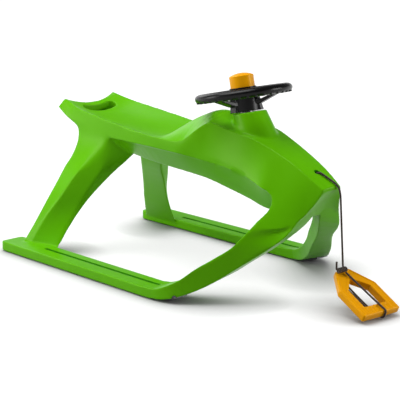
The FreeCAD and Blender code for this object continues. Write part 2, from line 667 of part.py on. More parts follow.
def wheel_screw():
    """Screw that holds the wheel on the shaft."""
    head = cylinder(WHEEL_SCREW_HEAD_R, SHAFT_TOP, SHAFT_TOP + WHEEL_SCREW_HEAD_H)
    head = head.cut(Part.makeBox(2 * WHEEL_SCREW_HEAD_R, 1.4, 1.6, Vector(
        -WHEEL_SCREW_HEAD_R, -0.7, SHAFT_TOP + WHEEL_SCREW_HEAD_H - 1.5)))
    shank = cylinder(WHEEL_SCREW_R, SHAFT_TOP - WHEEL_SCREW_L + 1, SHAFT_TOP)
    return on_column(head.fuse(shank))


COLLAR_INSIDE = HUB_TOP + COLLAR_FLOOR_T        # the horn's floor
HORN_SKIRT = COLLAR_INSIDE + HORN_TRAVEL + HORN_STOP_GAP    # cap's lower edge at rest


def collar_screws(clearance):
    """Screws of the horn collar in the column's frame, or their holes."""
    screws = []
    for i in range(COLLAR_SCREW_COUNT):
        angle = math.radians(SPOKE_TURN + 360.0 * i / COLLAR_SCREW_COUNT)
        x = COLLAR_SCREW_PCD_R * math.cos(angle)
        y = COLLAR_SCREW_PCD_R * math.sin(angle)
        low = COLLAR_INSIDE - COLLAR_SCREW_L
        shank = Part.makeCylinder(COLLAR_SCREW_R + clearance, COLLAR_SCREW_L, Vector(x, y, low))
        head = Part.makeCylinder(COLLAR_SCREW_HEAD_R + clearance, COLLAR_SCREW_HEAD_H,
                                 Vector(x, y, COLLAR_INSIDE))
        screws.append(shank.fuse(head))
    return screws


def horn_collar():
    """Cup on the hub that guides the horn's cap."""
    inner_r = HORN_R + HORN_RUN
    top = HORN_SKIRT + HORN_GUIDE
    cup = cylinder(inner_r + COLLAR_WALL, HUB_TOP, top)
    cup = cup.cut(cylinder(inner_r, COLLAR_INSIDE, top + 1))
    return on_column(cup.cut(collar_screws(FIT_GAP)))


def horn_squeaker():
    """Reed insert in the middle of the horn, with its air holes."""
    body = cylinder(SQUEAKER_R, COLLAR_INSIDE, COLLAR_INSIDE + SQUEAKER_H)
    holes = []
    for i in range(4):
        angle = math.radians(90 * i)
        holes.append(Part.makeCylinder(1.2, SQUEAKER_H, Vector(
            SQUEAKER_R / 2 * math.cos(angle), SQUEAKER_R / 2 * math.sin(angle),
            COLLAR_INSIDE + SQUEAKER_H / 2)))
    return on_column(body.cut(holes))


def crown_radius(radius):
    """Radius of the spherical crown on a cap of some radius."""
    return (radius ** 2 + HORN_CROWN ** 2) / (2 * HORN_CROWN)


def cap_roof(radius, height):
    """Solid of a domed cap: a cylinder with a spherical crown, up to a height."""
    crown_r = crown_radius(radius)
    body = cylinder(radius, HORN_SKIRT, height)
    ball = Part.makeSphere(crown_r, Vector(0, 0, height - crown_r))
    return body.common(ball)


def horn_cap():
    """Horn button: a domed cup that slides in the collar."""
    outer = cap_roof(HORN_R, HORN_TOP)
    inner = cap_roof(HORN_R - HORN_WALL, HORN_TOP - HORN_WALL)
    inner = inner.fuse(cylinder(HORN_R - HORN_WALL, HORN_SKIRT - 1, HORN_SKIRT + 1))
    return on_column(outer.cut(inner))


def horn_spring():
    """Return spring of the horn: one coiled wire with flat seats left out."""
    crown_r = crown_radius(HORN_R - HORN_WALL)
    outside_r = SPRING_R + SPRING_WIRE_R
    roof = HORN_TOP - HORN_WALL - crown_r + math.sqrt(crown_r ** 2 - outside_r ** 2)
    low = COLLAR_INSIDE + SPRING_WIRE_R + SPRING_SEAT
    high = roof - SPRING_WIRE_R - SPRING_SEAT
    count = SPRING_TURNS * SPRING_SIDES
    points = []
    for i in range(count + 1):
        angle = 2 * math.pi * i / SPRING_SIDES
        points.append(Vector(SPRING_R * math.cos(angle), SPRING_R * math.sin(angle),
                             low + (high - low) * i / count))
    path = rounded_path(points)[0]
    print("horn spring gap between turns %.2f mm" % self_gap(path, SPRING_WIRE_R))
    return on_column(tube(path, SPRING_WIRE_R))


def rounded_path(points, share=0.45):
    """Wire of straight runs joined by tangent arcs, each as large as its two runs allow."""
    edges = []
    radii = []
    last = points[0]
    for before, corner, after in zip(points[:-2], points[1:-1], points[2:]):
        way_in = (corner - before).normalize()
        way_out = (after - corner).normalize()
        turn = way_in.getAngle(way_out)
        reach = share * min((corner - before).Length, (after - corner).Length)
        radius = reach / math.tan(turn / 2)
        radii.append(radius)
        start = corner - way_in * reach
        end = corner + way_out * reach
        inward = (way_out - way_in).normalize()
        middle = corner + inward * (radius / math.cos(turn / 2) - radius)
        edges.append(line(last, start))
        edges.append(arc(start, middle, end))
        last = end
    edges.append(line(last, points[-1]))
    return Part.Wire(edges), radii


def tube(path, radius):
    """Round tube along a wire of lines and arcs."""
    first = path.Edges[0]
    start = first.Vertexes[0].Point
    along = first.tangentAt(first.FirstParameter)
    ring = Part.Wire([Part.Circle(start, along, radius).toShape()])
    solid = path.makePipeShell([ring], True, False)
    expected = math.pi * radius ** 2 * path.Length
    print("tube volume %.4f of section times length" % (solid.Volume / expected))
    return solid


def cord_start():
    """Centre of the stopper knot under the bonnet, and where the cord turns above its hole."""
    mouth, out = deck_point(nose(CORD_HOLE_BACK))
    ahead = Vector(out.z, 0, -out.x)
    centre = mouth - out * (1.12 * WALL + KNOT_SEAT + KNOT_R)
    return centre, mouth + ahead * CORD_LEAN + out * CORD_RISE


def stopper_knot():
    """Knot inside the nose that keeps the cord from pulling out, flat where the cord meets it."""
    centre, bend = cord_start()
    way = (bend - centre).normalize()
    ball = Part.makeSphere(KNOT_R, centre)
    return ball.cut(Part.makeCylinder(KNOT_R, KNOT_R, centre + way * KNOT_FACE, way))


def pull_cord():
    """Free stretch of the pull cord."""
    centre, bend = cord_start()
    points = [centre + (bend - centre).normalize() * KNOT_FACE, bend]
    points += [Vector(*p) for p in CORD_POINTS]
    points.append(knot_middle(KNOT_Y + WRAP_PITCH / 2) + Vector(0, 0, KNOT_REACH + KNOT_SEAT))
    path, radii = rounded_path(points)
    print("cord radii " + " ".join("%.1f" % r for r in radii))
    print("cord length %.1f" % path.Length)
    return tube(path, CORD_R)


def handle_frame():
    """Placement of the pull handle's own frame: origin at the apex, X towards the grip."""
    pitch = FreeCAD.Rotation(Vector(0, 1, 0), HANDLE_PITCH)
    yaw = FreeCAD.Rotation(Vector(0, 0, 1), HANDLE_YAW)
    slope = math.radians(HANDLE_PITCH)
    below = HANDLE_T / 2 + 2 * CORD_R + 2 * KNOT_SEAT
    apex_z = HANDLE_L * math.sin(slope) + below * math.cos(slope)
    return FreeCAD.Placement(Vector(nose(-HANDLE_AHEAD), HANDLE_ASIDE, apex_z), yaw.multiply(pitch))


def on_handle(shape):
    """A shape drawn in the handle's frame, moved to its place."""
    placed = shape.copy()
    placed.Placement = handle_frame().multiply(shape.Placement)
    return placed


def handle_outline(points, low, thick):
    """Prism of an outline given as (along, across) points of its left half."""
    across = [Vector(x, y, low) for x, y in points]
    across += [Vector(x, -y, low) for x, y in reversed(points)]
    return Part.Face(closed(across)).extrude(Vector(0, 0, thick))


def pull_handle():
    """Pull handle: a flat frame that widens from the cord's end to a grip bar."""
    outer = handle_outline([(0, HANDLE_APEX_HALF), (HANDLE_BEND, HANDLE_HALF),
                            (HANDLE_L, HANDLE_HALF)], -HANDLE_T / 2, HANDLE_T)
    outer = outer.makeFillet(HANDLE_EDGE_R, outer.Edges)
    inside = HANDLE_HALF - HANDLE_BAR
    window = handle_outline([(HANDLE_WEB, 2.0), (HANDLE_BEND + 5, inside),
                             (HANDLE_L - HANDLE_GRIP, inside)], -HANDLE_T, 2 * HANDLE_T)
    return on_handle(outer.cut(window))


WIND_Z = HANDLE_T / 2 + KNOT_SEAT + CORD_R      # wound cord's middle above the handle's middle
KNOT_REACH = WRAP_R + CORD_R                    # outer radius of the handle's knot


def knot_middle(across):
    """Point on the middle line of the handle's knot."""
    return handle_frame().multVec(Vector(KNOT_REACH, across, HANDLE_T / 2 + KNOT_SEAT + KNOT_REACH))


def handle_knot():
    """Knot on the handle's apex: turns of cord side by side, and the cord's short tail."""
    half = (WRAP_COUNT - 1) / 2 * WRAP_PITCH
    across = handle_frame().Rotation.multVec(Vector(0, 1, 0))
    first = knot_middle(KNOT_Y - half)
    knot = Part.makeCylinder(WRAP_R, 2 * half, first, across)
    turns = []
    for i in range(WRAP_COUNT):
        turns.append(Part.makeTorus(WRAP_R, CORD_R, first + across * (i * WRAP_PITCH), across))
    tail = Part.makeCylinder(CORD_R * 0.95, KNOT_TAIL_L, first + across * CORD_R)
    return knot.fuse(turns + [tail])


def winding_points():
    """Route of the wound cord in the handle's frame: over the front, round the grip, twice
    along the back."""
    front = [Vector(2 * KNOT_REACH + KNOT_SEAT, KNOT_Y + 1.5 * WRAP_PITCH, WIND_Z)]
    front += [Vector(x, y, WIND_Z) for x, y in WIND_FRONT]
    edge = HANDLE_L + KNOT_SEAT + CORD_R
    corner = (2 - math.sqrt(2)) * (HANDLE_EDGE_R + KNOT_SEAT + CORD_R)
    wrap = [(edge - corner, WIND_Z), (edge, WIND_Z - corner), (edge, corner - WIND_Z),
            (edge - corner, -WIND_Z)]
    round_grip = [Vector(x, WIND_WRAP_Y, z) for x, z in wrap]
    back = [Vector(x, y, -WIND_Z) for x, y in WIND_BACK]
    step = WIND_TURN * math.tan(math.radians(22.5))
    turn = [(-step, WIND_TURN), (-WIND_TURN, step), (-WIND_TURN, -step), (-step, -WIND_TURN)]
    middle_x, middle_y = WIND_TURN_MIDDLE
    turn_points = [Vector(middle_x + x, middle_y + y, -WIND_Z) for x, y in turn]
    tail = [Vector(x, y, -WIND_Z) for x, y in WIND_RETURN]
    return front + round_grip + back + turn_points + tail


def self_gap(path, radius):
    """Least clearance between stretches of a tube that lie well apart along it."""
    points = path.discretize(Distance=1.0)
    skip = int(8 * radius)
    least = min(points[i].distanceToPoint(points[j])
                for i in range(len(points)) for j in range(i + skip, len(points)))
    return least - 2 * radius


def cord_winding():
    """Cord wound over the handle, one unbroken tube."""
    path, radii = rounded_path(winding_points())
    print("winding radii " + " ".join("%.1f" % r for r in radii))
    print("winding length %.1f, least gap to itself %.2f" % (path.Length, self_gap(path, CORD_R)))
    return on_handle(tube(path, CORD_R))


def main():
    """Build every piece and write it to its own file."""
    nodes = {"moulded_body": moulded_body(), "left_glide_rail": glide_rail(),
             "right_glide_rail": mirrored(glide_rail())}
    screws = rail_screws(0.0)
    nodes["rail_screws"] = Part.makeCompound(screws + [mirrored(s) for s in screws])
    nodes["upper_bush"] = upper_bush()
    nodes["lower_bush"] = lower_bush()
    nodes["steering_shaft"] = steering_shaft()
    nodes["thrust_washer"] = washer(END_GAP, SHAFT_R)
    nodes["lock_washer"] = washer(NECK_LOW - WASHER_T, SHAFT_THREAD_R)
    nodes["lock_nut"] = lock_nut()
    nodes["steering_wheel"] = steering_wheel()
    nodes["wheel_screw"] = wheel_screw()
    nodes["horn_collar"] = horn_collar()
    nodes["collar_screws"] = Part.makeCompound([on_column(s) for s in collar_screws(0.0)])
    nodes["horn_squeaker"] = horn_squeaker()
    nodes["horn_spring"] = horn_spring()
    nodes["horn_cap"] = horn_cap()
    nodes["pull_cord"] = pull_cord()
    nodes["stopper_knot"] = stopper_knot()
    nodes["handle_knot"] = handle_knot()
    nodes["cord_winding"] = cord_winding()
    nodes["pull_handle"] = pull_handle()
    os.makedirs("parts", exist_ok=True)
    for name, shape in nodes.items():
        box = shape.BoundBox
        print("%-18s solids %d valid %s volume %.0f  x %.1f..%.1f y %.1f..%.1f z %.1f..%.1f" % (
            name, len(shape.Solids), shape.isValid(), shape.Volume, box.XMin, box.XMax,
            box.YMin, box.YMax, box.ZMin, box.ZMax))
        shape.exportStep("parts/%s.step" % name)


main()
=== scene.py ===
"""Studio scene of a child's moulded steering sled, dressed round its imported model.

Metres, unless a heading says millimetres. +X points to the nose, +Y to the rider's left, +Z up."""
import bmesh
import bpy
import math
import numpy as np
from mathutils import Matrix, Vector


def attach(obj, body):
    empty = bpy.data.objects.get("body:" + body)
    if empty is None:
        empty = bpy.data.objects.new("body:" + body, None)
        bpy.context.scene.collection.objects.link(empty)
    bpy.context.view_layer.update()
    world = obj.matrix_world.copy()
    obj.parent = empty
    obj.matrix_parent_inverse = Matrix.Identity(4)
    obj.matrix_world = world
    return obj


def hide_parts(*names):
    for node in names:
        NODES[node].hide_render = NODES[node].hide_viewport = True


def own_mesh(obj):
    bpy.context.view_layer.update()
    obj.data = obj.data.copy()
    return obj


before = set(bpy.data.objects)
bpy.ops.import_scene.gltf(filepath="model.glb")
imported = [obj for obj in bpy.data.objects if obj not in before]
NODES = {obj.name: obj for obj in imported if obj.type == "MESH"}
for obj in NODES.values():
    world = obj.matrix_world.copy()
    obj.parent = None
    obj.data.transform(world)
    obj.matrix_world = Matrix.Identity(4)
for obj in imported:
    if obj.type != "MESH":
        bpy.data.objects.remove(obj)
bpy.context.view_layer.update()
MM = 0.001

# Camera: in front of the sled and to its right, looking slightly down
CAMERA_PLACE = Vector((2.2326, -2.0882, 0.8847))
CAMERA_AZIMUTH = 46.75
CAMERA_ELEVATION = 13.57
CAMERA_LENS = 130.5
SENSOR = 36.0
CLIP_END = 100.0

# Cord and handle, in millimetres; the winding is in the handle's own frame
CORD_R = 2.0
CORD_ROUTE = [(348.3, 0.0, 259.8), (354.3, 0.0, 267.2), (365.0, 5.0, 260.4), (377.5, 9.5, 252.8),
              (389.5, 13.3, 246.0), (396.5, 15.0, 238.0), (399.3, 16.0, 226.0), (400.6, 16.0, 213.0),
              (423.5, 0.6, 85.9)]
HANDLE_PLACE = (412.5, 7.0, 70.28)
HANDLE_PITCH = 27.5
HANDLE_YAW = -4.0
WINDING_ROUTE = [(11.5, -0.8, 10.3), (55.0, 1.6, 10.3), (96.0, 3.6, 10.3), (120.0, 6.3, 10.3),
                 (126.6, 7.0, 10.3), (130.3, 7.0, 6.6), (130.3, 7.0, 0.0), (130.3, 7.0, -6.6),
                 (126.6, 7.0, -10.3), (120.0, 5.3, -10.3), (97.0, -0.8, -10.3), (52.0, -2.2, -10.3),
                 (16.0, -1.1, -10.3), (12.2, -1.0, -10.3), (9.6, -3.6, -10.3), (9.6, -7.2, -10.3),
                 (12.2, -9.8, -10.3), (16.0, -9.7, -10.3), (52.0, -8.8, -10.3), (92.0, -5.8, -10.3)]
HANDLE_OUTLINE = [(0.0, 18.5), (50.5, 49.5), (128.0, 49.5)]      # along, half width
HANDLE_WINDOW = [(28.0, 2.0), (55.5, 29.5), (105.0, 29.5)]
HANDLE_T = 16.0
CHANNEL_D = 1.7         # depth of the channel in the handle's two faces
CHANNEL_EDGE = (3.5, 6.0)       # where the channel starts and is full, from an edge
CHANNEL_FACE = (HANDLE_T / 2 - 3.0, HANDLE_T / 2 - 1.0)     # the same, from the handle's middle
GRIP_START = 105.0
GRIP_RIB = 12.0         # spacing of the ribs across the grip's channel

# Knot on the handle, in millimetres: turns of cord side by side, and a tail
WRAP_R = 3.6
WRAP_PITCH = 4.8
WRAP_COUNT = 6
TURN_POINTS = 12
KNOT_Y = -8.0
KNOT_GAP = 0.3
KNOT_REACH = WRAP_R + CORD_R
KNOT_Z = HANDLE_T / 2 + KNOT_GAP + KNOT_REACH
KNOT_TAIL = 16.0
TAIL_BEND = 0.4         # share of the tail below its bend

# Steering column
COLUMN_PLACE = Vector((0.152, 0.0, 0.3595))
COLUMN_AXIS = Vector((-0.2079, 0.0, 0.9781))

# Grooves in the runners' tops
GROOVE_W = 8.0 * MM
GROOVE_D = 5.0 * MM
GROOVE_LIP = 0.2 * MM
GROOVE_Y = 0.207
GROOVE_TOP = 0.023
GROOVE_START = -0.267
GROOVE_END = 0.113
GROOVE_FILL = 1.5 * GROOVE_D    # depth of the blocks that fill the part's own grooves
RUNNER_REACH = 3.0 * MM         # faces up to this far over the grooves' tops belong to the runners
FACING_UP = 0.8

# Hand slot in the seat and the cord's hole in the bonnet
SLOT_BACK = -0.336
SLOT_FRONT = -0.308
SLOT_HALF = 0.048
SLOT_SHADE_TOP = 0.302       # painted shade below this height
SLOT_LOW = 0.24
CORD_MOUTH = Vector((0.3510, 0.0, 0.2657))
CORD_OUT = Vector((0.521, 0.0, 0.8535))
HOLE_SHADE_START = 0.3 * MM    # painted shade below this depth
HOLE_DEEP = 20.0 * MM
HOLE_REACH = 7.0 * MM
KNOT_DEPTH = 12.8 * MM  # stopper knot's middle below the mouth

# Plugs in the body's two bores, which part its hollow from the outside: middle, axis, radius, length
PLUGS = [
    (CORD_MOUTH - CORD_OUT * KNOT_DEPTH, CORD_OUT, 9.0 * MM, 9.0 * MM),
    (COLUMN_PLACE - COLUMN_AXIS * 30.0 * MM, COLUMN_AXIS, 12.0 * MM, 8.0 * MM),
]

# Moulded edges: size of the voxels and rounds of smoothing
BODY_EDGES = (1.6 * MM, 3)
WHEEL_EDGES = (0.9 * MM, 4)
CAP_EDGES = (0.7 * MM, 8)
HANDLE_EDGES = (0.8 * MM, 6)
SMOOTHING = 0.5         # share of the way to its neighbours that a point moves in a round
CLOSE = 3.0 * MM        # slits up to twice this wide are closed, and inner corners filled

# Ridges of the body that the mould rounds over: limits in x, to either side and in z, rounds, facing
RIDGES = [
    (((-0.42, -0.10), (0.04, 0.26), (0.03, 0.265)), 25, None),      # rear legs
    (((-0.36, -0.175), (0.04, 0.2), (0.19, 0.303)), 200, None),     # their roots under the seat
    (((0.17, 0.33), (0.08, 0.26), (0.07, 0.18)), 80, None),         # fold of the front legs
    (((-0.04, 0.36), (0.03, 0.2), (0.16, 0.35)), 200, 0.75),        # side panels
]
ROUND_FADE = 0.03

# Colours, as linear values
GREEN = (0.108, 0.430, 0.0005, 1.0)
GREEN_DEEP = (0.099, 0.405, 0.0005, 1.0)
# painted shade: the darker green given to the runners' grooves, the hand slot and the cord's hole
GREEN_PAINTED_SHADE = (0.020, 0.170, 0.0005, 1.0)
GREEN_SHINE = (0.95, 1.0, 0.40, 1.0)
ORANGE = (0.880, 0.390, 0.001, 1.0)
ORANGE_DEEP = (0.82, 0.33, 0.001, 1.0)
ORANGE_SHINE = (1.0, 0.62, 0.10, 1.0)
HANDLE_ORANGE = (0.800, 0.345, 0.001, 1.0)
HANDLE_DEEP = (0.75, 0.30, 0.001, 1.0)
BLACK = (0.0035, 0.0035, 0.0038, 1.0)
BLACK_DEEP = (0.0025, 0.0025, 0.0027, 1.0)
WHITE = (1.0, 1.0, 1.0, 1.0)
CORD_DARK = (0.018, 0.011, 0.008, 1.0)
CORD_BROWN = (0.060, 0.036, 0.024, 1.0)
STEEL = (0.070, 0.070, 0.073, 1.0)
ZINC = (0.500, 0.500, 0.500, 1.0)
NYLON = (0.700, 0.690, 0.620, 1.0)
NYLON_DEEP = (0.64, 0.63, 0.55, 1.0)
FLOOR_SEEN = (0.350, 0.350, 0.350, 1.0)
FLOOR_BOUNCE = (0.340, 0.340, 0.340, 1.0)
CEILING = (0.10, 0.10, 0.10, 1.0)

# Plastics: colour, its deeper shade, roughness, tint and strength of the shine
PLASTICS = {
    "green_plastic": (GREEN, GREEN_DEEP, 0.33, GREEN_SHINE, 0.13),
    # painted shade: a darker copy of the green plastic, for the grooves and holes
    "painted_shade_green": (GREEN_PAINTED_SHADE, GREEN_PAINTED_SHADE, 0.5, GREEN_SHINE, 0.05),
    "black_plastic": (BLACK, BLACK_DEEP, 0.28, WHITE, 0.2),
    "orange_plastic": (ORANGE, ORANGE_DEEP, 0.26, ORANGE_SHINE, 0.3),
    "handle_plastic": (HANDLE_ORANGE, HANDLE_DEEP, 0.34, ORANGE_SHINE, 0.25),
    "nylon": (NYLON, NYLON_DEEP, 0.42, WHITE, 0.5),
}
FLOW_SCALE = 7.0        # flow marks in the colour
PATCH_SCALE = 35.0      # patches of more and less shine
PATCH_SPREAD = 0.05
GRAIN_SCALE = 900.0     # grain of the surface
GRAIN_DETAIL = 2.0
GRAIN_DEPTH = 0.2 * MM
GRAIN_STRENGTH = 0.05

# Metals: colour and roughness
METALS = {"rail_steel": (STEEL, 0.42), "zinc": (ZINC, 0.35)}
SCRATCH_SCALE = 3.0
SCRATCH_DETAIL = 2.0
SCRATCH_STRETCH = (8.0, 400.0, 400.0)
SCRATCH_SHADE = 0.8     # colour in a scratch, as a share
SCRATCH_SPREAD = 0.08
SCRATCH_DEPTH = 0.1 * MM
SCRATCH_STRENGTH = 0.2

# Fibres of the cord
FIBRE_SCALE = 1400.0
FIBRE_DEPTH = 0.6 * MM
FIBRE_STRENGTH = 0.6
CORD_ROUGHNESS = 0.85
CORD_SHEEN = 0.3

# Studio: a floor that adds some light so that it stays white, a white wall and a dark ceiling
FLOOR_HALF = 30.0
FLOOR_ROUGHNESS = 0.9
FLOOR_GLOSS = 0.1
LIFT_NEAR = 0.72        # light that the floor adds
LIFT_FAR = 1.0
LIFT_START = 0.5        # from the sled's middle
LIFT_END = 3.0
CONTACT_REACH = 0.12    # the painted contact shadows fade over this distance
CONTACT_DEPTH = 2.8
CONTACT_SAMPLES = 16
WALL_TOP = 0.10         # the wall fades to the ceiling between these sines of elevation
CEILING_START = 0.22

# Soft lights: name, place, target, width, height, watts
LAMPS = [
    ("overhead", (-0.4, -0.5, 2.4), (0.0, 0.0, 0.2), 1.8, 1.8, 57.0),
    ("left", (-1.6, -1.95, 1.0), (0.0, 0.0, 0.2), 1.2, 1.4, 37.0),
    ("right", (1.9, 1.4, 0.9), (0.1, 0.0, 0.2), 0.9, 1.2, 28.0),
    ("back", (-2.0, 0.5, 1.4), (0.0, 0.0, 0.3), 1.2, 1.2, 9.0),
]


def new_material(name):
    """Empty node material; returns it with its tree and shader."""
    material = bpy.data.materials.new(name)
    material.use_nodes = True
    tree = material.node_tree
    return material, tree, tree.nodes["Principled BSDF"]


def noise(tree, scale, detail=3.0, stretch=None):
    """Noise in the object's own coordinates, which may be stretched."""
    place = tree.nodes.new("ShaderNodeTexCoord").outputs["Object"]
    if stretch:
        mapping = tree.nodes.new("ShaderNodeMapping")
        mapping.inputs["Scale"].default_value = stretch
        tree.links.new(place, mapping.inputs["Vector"])
        place = mapping.outputs["Vector"]
    texture = tree.nodes.new("ShaderNodeTexNoise")
    texture.inputs["Scale"].default_value = scale
    texture.inputs["Detail"].default_value = detail
    tree.links.new(place, texture.inputs["Vector"])
    return texture.outputs["Fac"]


def ramp(tree, value, low, high, start=0.3, end=0.7):
    """Colours from low to high as a value goes from start to end."""
    node = tree.nodes.new("ShaderNodeValToRGB")
    node.color_ramp.elements[0].position = start
    node.color_ramp.elements[0].color = low
    node.color_ramp.elements[1].position = end
    node.color_ramp.elements[1].color = high
    tree.links.new(value, node.inputs["Fac"])
    return node.outputs["Color"]


def spread(tree, value, middle, reach):
    """A value from 0 to 1 moved to the range that reaches as far below a middle as above it."""
    node = tree.nodes.new("ShaderNodeMapRange")
    node.inputs["To Min"].default_value = middle - reach
    node.inputs["To Max"].default_value = middle + reach
    tree.links.new(value, node.inputs["Value"])
    return node.outputs["Result"]


def combined(tree, operation, first, second):
    """Two values put together by one sum; the second may be a plain number."""
    node = tree.nodes.new("ShaderNodeMath")
    node.operation = operation
    tree.links.new(first, node.inputs[0])
    if isinstance(second, float):
        node.inputs[1].default_value = second
    else:
        tree.links.new(second, node.inputs[1])
    return node.outputs[0]


def bump(tree, shader, value, distance, strength):
    """Surface relief from a value."""
    node = tree.nodes.new("ShaderNodeBump")
    node.inputs["Distance"].default_value = distance
    node.inputs["Strength"].default_value = strength
    tree.links.new(value, node.inputs["Height"])
    tree.links.new(node.outputs["Normal"], shader.inputs["Normal"])


def moulded_plastic(name, colour, deep, roughness, shine, gloss):
    """Satin moulded plastic: slight flow marks in its colour and a fine grain in its surface."""
    material, tree, shader = new_material(name)
    shader.inputs["Specular IOR Level"].default_value = gloss
    shader.inputs["Specular Tint"].default_value = shine
    tree.links.new(ramp(tree, noise(tree, FLOW_SCALE), deep, colour), shader.inputs["Base Color"])
    patches = spread(tree, noise(tree, PATCH_SCALE), roughness, PATCH_SPREAD)
    tree.links.new(patches, shader.inputs["Roughness"])
    bump(tree, shader, noise(tree, GRAIN_SCALE, GRAIN_DETAIL), GRAIN_DEPTH, GRAIN_STRENGTH)
    return material


def metal(name, colour, roughness):
    """Metal with fine scratches along the sled."""
    material, tree, shader = new_material(name)
    shader.inputs["Metallic"].default_value = 1.0
    scratches = noise(tree, SCRATCH_SCALE, SCRATCH_DETAIL, SCRATCH_STRETCH)
    dark = (*(SCRATCH_SHADE * part for part in colour[:3]), 1.0)
    tree.links.new(ramp(tree, scratches, dark, colour), shader.inputs["Base Color"])
    tree.links.new(spread(tree, scratches, roughness, SCRATCH_SPREAD), shader.inputs["Roughness"])
    bump(tree, shader, scratches, SCRATCH_DEPTH, SCRATCH_STRENGTH)
    return material


def braided_cord():
    """Dark cord: fine fibres in its colour and its surface, dull and slightly fuzzy."""
    material, tree, shader = new_material("braided_cord")
    shader.inputs["Roughness"].default_value = CORD_ROUGHNESS
    shader.inputs["Sheen Weight"].default_value = CORD_SHEEN
    fibres = noise(tree, FIBRE_SCALE)
    tree.links.new(ramp(tree, fibres, CORD_DARK, CORD_BROWN), shader.inputs["Base Color"])
    bump(tree, shader, fibres, FIBRE_DEPTH, FIBRE_STRENGTH)
    return material


def set_materials(mesh, *materials):
    """Gives a mesh these materials in place of its own."""
    mesh.materials.clear()
    for material in materials:
        mesh.materials.append(material)


def paint(material, *names):
    """Gives CAD nodes a material."""
    for name in names:
        set_materials(NODES[name].data, material)


def edit(mesh, *changes):
    """Makes changes to a mesh's faces, one after another."""
    work = bmesh.new()
    work.from_mesh(mesh)
    for change in changes:
        change(work)
    work.to_mesh(mesh)
    work.free()


def plug(mesh, middle, axis, radius, length):
    """Adds a closed cylinder to a mesh."""
    turn = axis.to_track_quat("Z", "Y").to_matrix().to_4x4()
    bmesh.ops.create_cone(mesh, cap_ends=True, segments=24, radius1=radius, radius2=radius,
                          depth=length, matrix=Matrix.Translation(middle) @ turn)


def block(mesh, low, high):
    """Adds a closed box between two corners to a mesh."""
    size = Vector(high) - Vector(low)
    middle = (Vector(high) + Vector(low)) / 2
    place = Matrix.Translation(middle) @ Matrix.Diagonal((*size, 1.0))
    bmesh.ops.create_cube(mesh, size=1.0, matrix=place)


def fill_hollows(mesh):
    """Plugs the body's bores and fills the grooves in its runners, which are cut again later."""
    for middle, axis, radius, length in PLUGS:
        plug(mesh, middle, axis, radius, length)
    for side in (-1, 1):
        middle = side * GROOVE_Y
        block(mesh, (GROOVE_START - GROOVE_W, middle - GROOVE_W, GROOVE_TOP - GROOVE_FILL),
              (GROOVE_END + GROOVE_W / 2, middle + GROOVE_W, GROOVE_TOP))


def joined_faces(face, seen):
    """A face and all faces joined to it, which are added to those seen."""
    island = [face]
    seen.add(face.index)
    for current in island:
        for edge in current.edges:
            for other in edge.link_faces:
                if other.index not in seen:
                    seen.add(other.index)
                    island.append(other)
    return island


def keep_largest(mesh):
    """Deletes every part of a mesh but the one with the most faces."""
    seen = set()
    islands = []
    for face in mesh.faces:
        if face.index not in seen:
            islands.append(joined_faces(face, seen))
    islands.sort(key=len)
    for island in islands[:-1]:
        bmesh.ops.delete(mesh, geom=island, context="FACES")


def runner_top(mesh, middle):
    """Faces of a runner's top near its groove, with their edges and corners."""
    faces = []
    for face in mesh.faces:
        place = face.calc_center_median()
        near = abs(place.y - middle) < GROOVE_W and place.z < GROOVE_TOP + RUNNER_REACH
        if near and face.normal.z > FACING_UP:
            faces.append(face)
    parts = {e for f in faces for e in f.edges} | {v for f in faces for v in f.verts}
    return faces + list(parts)


def cut_grooves(mesh):
    """Sinks the stiffening groove into the top of each runner, and paints shade into it with the second
    material.
    """
    mesh.normal_update()
    half = GROOVE_W / 2
    for side in (-1, 1):
        middle = side * GROOVE_Y
        for offset in (-half - GROOVE_LIP, -half, half, half + GROOVE_LIP):
            bmesh.ops.bisect_plane(mesh, geom=runner_top(mesh, middle), plane_no=(0, 1, 0),
                                   plane_co=(0, middle + offset, 0))
        for vertex in mesh.verts:
            inside = abs(vertex.co.y - middle) < half + GROOVE_LIP / 4
            along = GROOVE_START < vertex.co.x < GROOVE_END
            if inside and along and abs(vertex.co.z - GROOVE_TOP) < GROOVE_D / 2:
                vertex.co.z -= GROOVE_D
                for face in vertex.link_faces:
                    # painted shade: the groove's faces take the darker second material
                    face.material_index = 1


def paint_shade_in_holes(mesh):
    """Paints shade into the insides of the hand slot and the cord's hole, with the second material's
    darker green.
    """
    for face in mesh.faces:
        place = face.calc_center_median()
        across = SLOT_BACK < place.x < SLOT_FRONT and abs(place.y) < SLOT_HALF
        in_slot = across and SLOT_LOW < place.z < SLOT_SHADE_TOP
        way = place - CORD_MOUTH
        depth = -way.dot(CORD_OUT)
        in_hole = HOLE_SHADE_START < depth < HOLE_DEEP and (way + CORD_OUT * depth).length < HOLE_REACH
        if in_slot or in_hole:
            # painted shade: the second material
            face.material_index = 1


def faded(values, low, high, fade):
    """1 between two limits and 0 outside them, with a soft change just inside each limit."""
    inside = np.minimum(values - low, high - values) / fade
    inside = np.clip(inside, 0.0, 1.0)
    return inside * inside * (3 - 2 * inside)


def rows(items, name, width, kind=float):
    """One property of all of a mesh's points or edges, a row each."""
    values = np.empty(width * len(items), dtype=kind)
    items.foreach_get(name, values)
    return values.reshape(-1, width)


